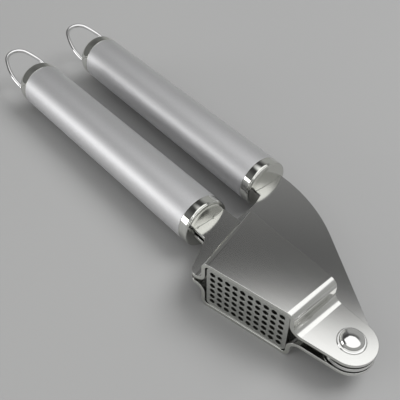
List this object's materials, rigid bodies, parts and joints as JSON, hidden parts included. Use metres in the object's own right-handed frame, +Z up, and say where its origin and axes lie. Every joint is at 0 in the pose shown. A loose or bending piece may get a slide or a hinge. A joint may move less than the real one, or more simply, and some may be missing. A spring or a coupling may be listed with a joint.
{
  "type": "garlic press",
  "caption": "Side-swinging steel garlic press with tubular handles, boxed chamber with perforated side, hinged lever plate with plunger, and wire hanging loops.",
  "frame": {"origin": "bottom centre of the whole press lying flat with its arms as in use, nearly closed", "axes": "+X along the fixed handle towards the pivot, +Y across towards the swinging handle, +Z up out of the table, parallel to the pivot"},
  "size_m": [0.2156, 0.063, 0.0236],
  "materials": {
    "satin_tube": "fine satin",
    "chrome_cap": "mirror polished",
    "polished_sheet": "polished sheet",
    "lever_sheet": "polished sheet",
    "sieve_steel": "semi-bright",
    "loop_wire": "bright wire",
    "rivet_steel": "polished",
    "plunger_steel": "semi-bright",
    "inner_steel": "plain mill finish"
  },
  "bodies": {
    "chamber_arm": {"top_chamber_plate": "polished_sheet", "bottom_chamber_plate": "polished_sheet", "sieve_plate": "sieve_steel", "near_handle_tube": "satin_tube", "near_front_cap": "chrome_cap", "near_rear_cap": "chrome_cap", "near_hanging_loop": "loop_wire", "near_tang_spacer": "inner_steel", "near_tang_pins": "inner_steel", "pivot_rivet": "rivet_steel", "upper_rivet_washer": "rivet_steel", "lower_rivet_washer": "rivet_steel", "upper_spacer_washer": "inner_steel", "lower_spacer_washer": "inner_steel"},
    "plunger_arm": {"lever_plate": "lever_sheet", "far_handle_tube": "satin_tube", "far_front_cap": "chrome_cap", "far_rear_cap": "chrome_cap", "far_hanging_loop": "loop_wire", "far_tang_pins": "inner_steel"},
    "plunger": {"plunger_channel": "plunger_steel", "plunger_pin": "plunger_steel", "plunger_spacers": "inner_steel"}
  },
  "joints": [
    {"name": "arm_pivot", "type": "hinge", "parent": "chamber_arm", "child": "plunger_arm", "pos_m": [0.0994, -0.012, 0.0118], "axis": [0, 0, -1], "range_deg": [-3.5, 95]},
    {"name": "plunger_swivel", "type": "hinge", "parent": "plunger_arm", "child": "plunger", "pos_m": [0.0651, -0.01794, 0.0118], "axis": [0, 0, -1], "range_deg": [-2.5, 2.5]}
  ]
}
